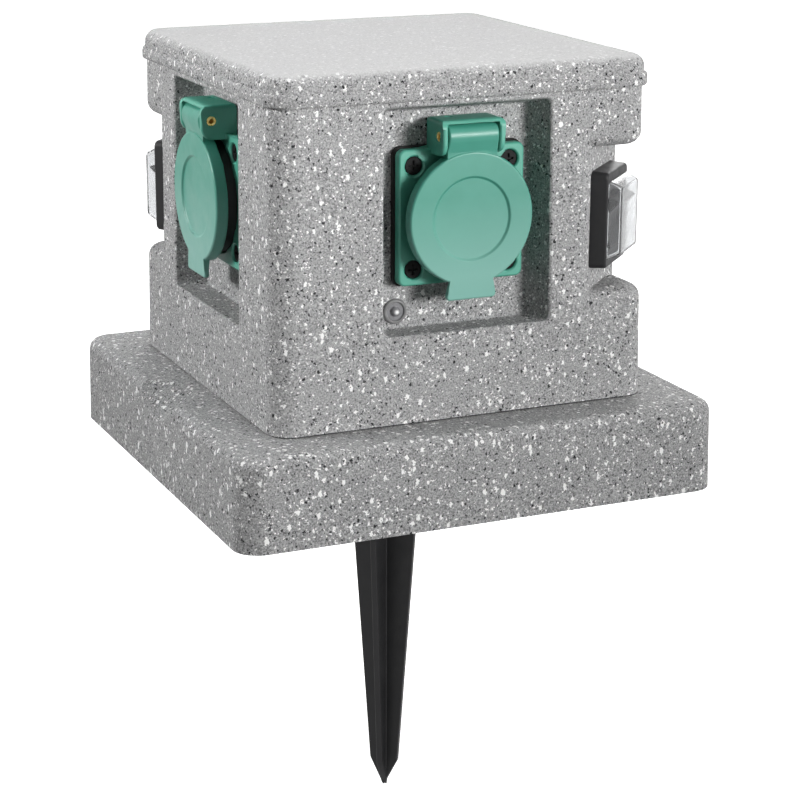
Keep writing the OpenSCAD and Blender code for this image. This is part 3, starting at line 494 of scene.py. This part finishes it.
# %% [markdown]
# Clear parts
#
# The boots over the switches are a clear soft moulding, which a transmissive shader with a
# slight haze shows well. The pilot lamp's lens is smoky. A pale spot is painted into the lens's
# own colour round its middle: a painted highlight where the dome catches the light.

# %% Make the clear finishes
CLEAR_IOR = 1.45


def make_clear(name, tint, gloss, through):
    clear = Finish(name, Transmission_Weight=through, IOR=CLEAR_IOR, Specular_IOR_Level=0.3)
    paler = tuple(min(1.0, part + 0.06) for part in tint)
    clear.drive("Base Color", clear.blend(clear.ramp(clear.noise(120.0, 3.0), 0.3, 0.7), tint, paler))
    clear.drive("Roughness", clear.ramp(clear.noise(300.0, 2.0), 0.3, 0.7, *gloss))
    clear.bump(clear.noise(160.0, 2.0), 0.0001, 0.3)
    return clear.material


def make_lens(name, low, high, painted_highlight_mm):
    """A smoky lens with a painted highlight round the lamp's axis, which runs along Y."""
    lens = Finish(name, Transmission_Weight=0.05, IOR=CLEAR_IOR, Roughness=0.12)
    middle = lens.node("VectorMath", {"operation": "MULTIPLY"})
    lens.tree.links.new(lens.place, middle.inputs[0])
    middle.inputs[1].default_value = (1.0, 0.0, 1.0)
    away = lens.node("VectorMath", {"operation": "DISTANCE"})
    lens.tree.links.new(middle.outputs[0], away.inputs[0])
    away.inputs[1].default_value = ((low.x + high.x) / 2, 0.0, (low.z + high.z) / 2)
    # Painted highlight: the colour turns pale near the lens's middle, for the light the dome catches.
    spot = lens.ramp(away.outputs["Value"], painted_highlight_mm[0] / 1000.0, painted_highlight_mm[1] / 1000.0, 1.0, 0.0)
    haze = lens.ramp(lens.noise(700.0, 3.0), 0.3, 0.7)
    smoke = lens.blend(haze, (0.20, 0.20, 0.21, 1.0), (0.27, 0.27, 0.28, 1.0))
    lens.drive("Base Color", lens.blend(spot, smoke, (0.95, 0.95, 0.94, 1.0)))
    return lens.material


clear_finish = make_clear("clear_boot", (0.76, 0.77, 0.78, 1), (0.05, 0.14), through=0.95)
lens_finish = make_lens("clear_lens", *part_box("pilot_lens"), (0.35, 1.15))
print("clear finishes:", clear_finish.name, lens_finish.name)

# %% [markdown]
# Cutting faces with holes
#
# A solid from the CAD model has razor-sharp edges, and it is made of loose flat triangles. To
# make it look moulded, we join the triangles into whole faces and round the edges between
# them. But a face in Blender can't have a hole. Joined blindly, a wall with a screw hole gets
# a seam from its rim to the hole, and the rounding tears there. So a few plain cuts first run
# through the holes and split the faces round them cleanly.

# %% Helpers for cuts and room
def cut_through(shape, cuts):
    """Cuts every face where it crosses the planes, and returns the cuts' edges."""
    kept = set()
    for axis, place_mm in cuts:
        normal = Vector([1.0 if axis == letter else 0.0 for letter in "xyz"])
        made = bmesh.ops.bisect_plane(shape, geom=shape.verts[:] + shape.edges[:] + shape.faces[:],
                                      dist=1e-6, plane_co=normal * place_mm / 1000.0, plane_no=normal)
        kept.update(item for item in made["geom_cut"] if isinstance(item, bmesh.types.BMEdge))
    return {edge for edge in kept if edge.is_valid}


def room_beside(edge):
    """How far the narrower of an edge's two faces reaches away from the edge."""
    start, along = edge.verts[0].co, (edge.verts[1].co - edge.verts[0].co).normalized()
    reaches = [max((corner.co - start).cross(along).length for corner in face.verts)
               for face in edge.link_faces]
    return min(reaches)


# Places in mm of the cutting planes, through the outlet, its screws, the lamp and the switches
OUTLET_Z, SCREW_STEP, CORNER_STEP, SPIKE_STEP = 109.7, 19, 60, 70
LAMP_CUT_X, LAMP_Z, SWITCH_Z = -26, 74.4, 103.4
OUTLET_CUTS = {"x": [0, -SCREW_STEP, SCREW_STEP], "y": [0, -SCREW_STEP, SCREW_STEP],
               "z": [OUTLET_Z, OUTLET_Z - SCREW_STEP, OUTLET_Z + SCREW_STEP]}
LID_CUTS = {"x": [0], "y": [0], "z": [OUTLET_Z]}
CUTS = {
    "body_housing": {"x": [0, -SCREW_STEP, SCREW_STEP, LAMP_CUT_X, CORNER_STEP, -CORNER_STEP],
                     "y": [0, -SCREW_STEP, SCREW_STEP, CORNER_STEP, -CORNER_STEP],
                     "z": [OUTLET_Z, SWITCH_Z, LAMP_Z, 90, 120, 135, 60]},
    "base_plinth": {"x": [0, -SPIKE_STEP, SPIKE_STEP], "y": [0, -SPIKE_STEP, SPIKE_STEP], "z": []},
    "front_flange": OUTLET_CUTS, "left_flange": OUTLET_CUTS,
    "front_insert": OUTLET_CUTS, "left_insert": OUTLET_CUTS,
    "front_lid": LID_CUTS, "left_lid": LID_CUTS,
}
print("solids with cuts:", sorted(CUTS))

# %% [markdown]
# Folds in the rounding
#
# Where three edges meet in a narrow corner, a Bevel modifier can fold a small face over, and
# it shows as a black fleck. Its clamp would help, but it thins every rounding on the piece to
# suit the worst corner. So we look at the rounded mesh instead: a face that points against the
# skin it came from is folded, and the edges beside it stay sharp.

# %% Helpers that find and mend folds
FOLD_FACING, FOLD_AREA = -0.2, 1e-9


def folded_corners(piece, skin):
    """Corners of the faces that the rounding has turned inside out."""
    rounded = piece.evaluated_get(bpy.context.evaluated_depsgraph_get())
    mesh = rounded.to_mesh()
    mesh.calc_loop_triangles()
    corners = []
    for face in mesh.loop_triangles:
        spots = [mesh.vertices[index].co.copy() for index in face.vertices]
        if face.area > FOLD_AREA:
            outward = skin.find_nearest(sum(spots, Vector()) / 3)[1]
            if outward.dot(face.normal) < FOLD_FACING:
                corners += spots
    rounded.to_mesh_clear()
    return corners


def keep_sharp_near(mesh, corners, reach):
    """Takes the rounding off every edge that passes one of the corners."""
    weights = mesh.attributes["bevel_weight_edge"].data
    for edge in mesh.edges:
        if weights[edge.index].value > 0:
            start, end = (mesh.vertices[index].co for index in edge.vertices)
            for corner in corners:
                spot, along = intersect_point_line(corner, start, end)
                nearest = start if along < 0 else end if along > 1 else spot
                if (nearest - corner).length < reach:
                    weights[edge.index].value = 0.0
                    break
    mesh.update()


print("fold helpers ready")

# %% [markdown]
# Dressing a solid
#
# We copy a solid's mesh, merge the doubled points and join the flat triangles. Every edge
# sharper than 35 degrees gets a bevel weight, less where a face beside it is narrow. Shaping
# each piece again by hand would give the same form and could drift from the solid. The copy
# then stands for the solid and rides on the same body.

# %% Helper that dresses one solid
SHARP_ANGLE, FLAT_ANGLE = math.radians(35.0), math.radians(0.4)
MERGE_REACH, ROOM_SHARE = 2e-6, 0.45
BEVEL_STEPS, MEND_ROUNDS, MEND_REACH = 2, 4, 1.3


def whole_faces(mesh, rounding_mm, cuts):
    """Joins a mesh's triangles, marks its sharp edges, and returns its old skin."""
    shape = bmesh.new()
    shape.from_mesh(mesh)
    bmesh.ops.remove_doubles(shape, verts=shape.verts, dist=MERGE_REACH)
    skin = BVHTree.FromBMesh(shape)
    kept = cut_through(shape, cuts)
    bmesh.ops.dissolve_limit(shape, angle_limit=FLAT_ANGLE, verts=shape.verts,
                             edges=[edge for edge in shape.edges if edge not in kept],
                             use_dissolve_boundaries=False)
    weight = shape.edges.layers.float.new("bevel_weight_edge")
    for face in shape.faces:
        face.smooth = True
    for edge in shape.edges:
        edge.smooth = len(edge.link_faces) != 2 or edge.calc_face_angle() < SHARP_ANGLE
        if rounding_mm and not edge.smooth:
            edge[weight] = min(1.0, ROOM_SHARE * room_beside(edge) * 1000.0 / rounding_mm)
    shape.to_mesh(mesh)
    shape.free()
    return skin


def round_edges(piece, rounding_mm, skin):
    bevel = piece.modifiers.new("soft_edges", "BEVEL")
    bevel.width, bevel.segments = rounding_mm / 1000.0, BEVEL_STEPS
    bevel.limit_method = "WEIGHT"
    bevel.use_clamp_overlap = False
    for _ in range(MEND_ROUNDS):
        corners = folded_corners(piece, skin)
        if not corners:
            break
        keep_sharp_near(piece.data, corners, MEND_REACH * bevel.width)
    shading = piece.modifiers.new("even_shading", "WEIGHTED_NORMAL")
    shading.keep_sharp = True


dressed_nodes = set()


def dress(node, material, rounding_mm):
    """Copies a CAD node, rounds its edges and lets the copy stand for the node."""
    source = frame["nodes"][node]
    mesh = source.data.copy()
    piece = bpy.data.objects.new(node + ".dressed", mesh)
    scene.collection.objects.link(piece)
    cuts = [(axis, place) for axis, places in CUTS.get(node, {}).items() for place in places]
    skin = whole_faces(mesh, rounding_mm, cuts)
    mesh.materials.clear()
    mesh.materials.append(material)
    if rounding_mm:
        round_edges(piece, rounding_mm, skin)
    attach(piece, source["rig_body"])
    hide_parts(node)
    dressed_nodes.add(node)


def dress_pair(ending, material, rounding_mm, sides=("front", "left")):
    for side in sides:
        dress(side + ending, material, rounding_mm)


print("ready to dress", len(frame["nodes"]), "nodes")

# %% [markdown]
# The shell
#
# Plinth, pillar and cap are the stone-look mouldings that one sees first. Their large rounded
# corners and the scoop are already in the solids. Only the thin rounding that a mould leaves
# on every edge is missing, so it goes on here. The cap's edges are round in its solid and get
# none.

# %% Dress the shell
dress("base_plinth", plinth_finish, 0.8)
dress("body_housing", stone_finish, 0.7)
dress("top_cap", cap_finish, 0.0)
print("dressed", len(dressed_nodes), "solids")

# %% [markdown]
# The outlets
#
# Each outlet is a green flange with its yoke, a green lid on a hollow brass pin, a black
# gasket behind and a black plug recess inside. Both outlets are the same product, so one call
# dresses the piece on the front face and the one on the left face. The larger a moulding, the
# wider its rounding.

# %% Dress the outlets
dress_pair("_flange", green_finish, 0.7)
dress_pair("_lid", lid_finish, 0.55)
dress_pair("_gasket", rubber_finish, 0.2)
dress_pair("_insert", black_finish, 0.2)
dress_pair("_hinge_pin", brass_finish, 0.12)
dress_pair("_flange_screws", screw_finish, 0.15)
print("dressed", len(dressed_nodes), "solids")

# %% [markdown]
# The switches
#
# A rocker switch sits on each flat corner: a black frame, a black rocker and a clear soft boot
# over it. The boot's walls are thin, so its rounding stays well below their thickness, or the
# inner and outer skins would meet.

# %% Dress the switches
dress_pair("_switch_frame", black_finish, 0.3, ("right", "rear"))
dress_pair("_rocker", black_finish, 0.4, ("right", "rear"))
dress_pair("_switch_boot", clear_finish, 0.2, ("right", "rear"))
print("dressed", len(dressed_nodes), "solids")

# %% [markdown]
# Spike, gland and pilot lamp
#
# The spike's fins, the cable gland's ribbed nut and the lamp's ring are small mouldings with
# crisp edges, so a fine rounding is enough to make them catch the light. The lens is a smooth
# dome, which needs none.

# %% Dress the spike, the gland and the lamp
dress("ground_spike", black_finish, 0.3)
dress("gland_body", black_finish, 0.3)
dress("gland_nut", black_finish, 0.3)
dress("pilot_ring", grey_finish, 0.15)
dress("pilot_lens", lens_finish, 0.0)
print("dressed", len(dressed_nodes), "solids")

# %% [markdown]
# Hidden solids
#
# The parts inside the pillar and under the plinth already have the right shape, and nobody
# sees their edges closely. So they keep their CAD mesh and only get a real finish in place of
# the plain colour.

# %% Give the remaining solids their finish
SLOT_FINISH = {
    "stone_shell": stone_finish,
    "black_plastic": black_finish,
    "black_rubber": rubber_finish,
    "green_plastic": green_finish,
    "brass": brass_finish,
    "steel": steel_finish,
    "clear_plastic": clear_finish,
    "cream_plastic": cream_finish,
    "grey_plastic": grey_finish,
}
slot_of = {part["node"]: part["material_slot"] for part in frame["record"]["subparts"]}
for node, source in frame["nodes"].items():
    if node not in dressed_nodes:
        for index in range(len(source.material_slots)):
            source.material_slots[index].material = SLOT_FINISH[slot_of[node]]
print("finished", len(frame["nodes"]) - len(dressed_nodes), "plain solids")
